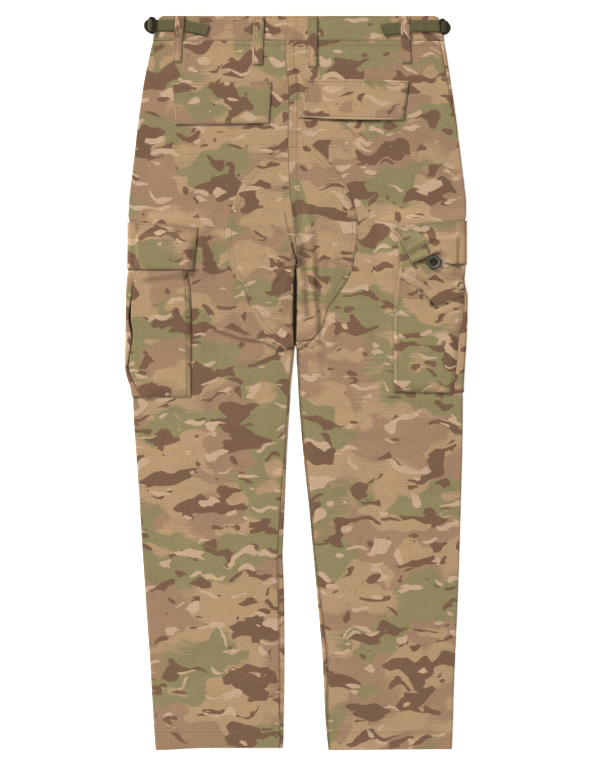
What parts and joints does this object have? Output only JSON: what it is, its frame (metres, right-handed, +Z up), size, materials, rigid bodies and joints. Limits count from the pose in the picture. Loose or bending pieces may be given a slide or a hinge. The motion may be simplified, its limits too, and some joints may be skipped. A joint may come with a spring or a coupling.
{
  "type": "cargo pants",
  "caption": "Straight-leg cargo trousers in mottled ripstop, laid flat with the back up, with flapped thigh pockets, a seat patch, belt loops and side adjusters.",
  "frame": {"origin": "under the middle of the outline, on the surface that the pants lie on", "axes": "+Y towards the waistband, +X to the right as seen from above the back, +Z up out of the back"},
  "size_m": [0.4969, 1.065, 0.0145],
  "materials": {
    "cloth": "matt woven ripstop with a printed mottle",
    "webbing": "ribbed olive webbing",
    "plastic": "satin moulded",
    "button": "satin moulded with a rim"
  },
  "bodies": {
    "root": {"back_panel_left": "cloth", "back_panel_right": "cloth", "front_panel_left": "cloth", "front_panel_right": "cloth", "seat_patch_left": "cloth", "seat_patch_right": "cloth", "hip_flap_left": "cloth", "hip_flap_right": "cloth", "fly_placket": "cloth", "waistband_back": "cloth", "waistband_front_left": "cloth", "waistband_front_right": "cloth", "belt_loop_1": "cloth", "belt_loop_2": "cloth", "belt_loop_3": "cloth", "belt_loop_4": "cloth", "side_strap_left": "webbing", "side_strap_right": "webbing", "slide_buckle_left": "plastic", "slide_buckle_right": "plastic", "cargo_pocket_back_left": "cloth", "cargo_pocket_front_left": "cloth", "cargo_pocket_back_right": "cloth", "cargo_pocket_front_right": "cloth", "cargo_flap_left": "cloth", "cargo_flap_right": "cloth", "cargo_button": "button"}
  },
  "joints": []
}
